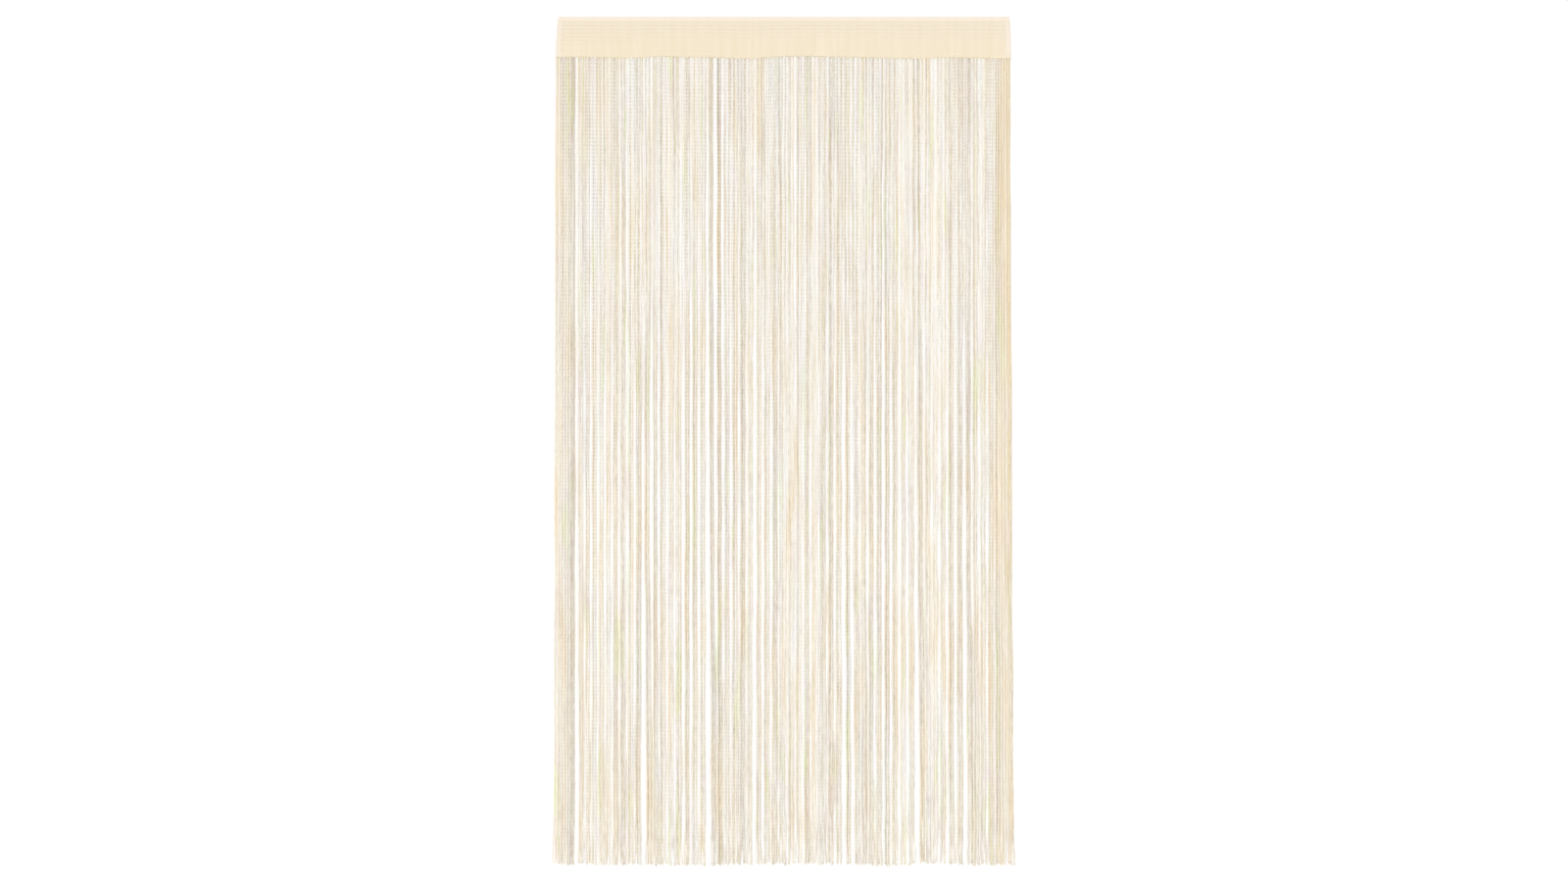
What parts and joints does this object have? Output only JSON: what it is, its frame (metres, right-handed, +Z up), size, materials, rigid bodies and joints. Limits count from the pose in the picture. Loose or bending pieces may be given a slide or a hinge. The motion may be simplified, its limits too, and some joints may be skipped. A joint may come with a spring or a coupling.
{
  "type": "string curtain",
  "caption": "Cream string curtain: a ribbed rod-pocket heading with fine hanging strings gathered into slim locks.",
  "frame": {"origin": "middle of the heading's top edge, where a rod holds the curtain", "axes": "+Z up, X along the width, and the front faces -Y"},
  "size_m": [1.0899, 0.0132, 1.9999],
  "materials": {
    "heading_cloth": "matte",
    "string_yarn": "matte"
  },
  "bodies": {
    "root": {"heading": "heading_cloth", "strings": "string_yarn"}
  },
  "joints": []
}
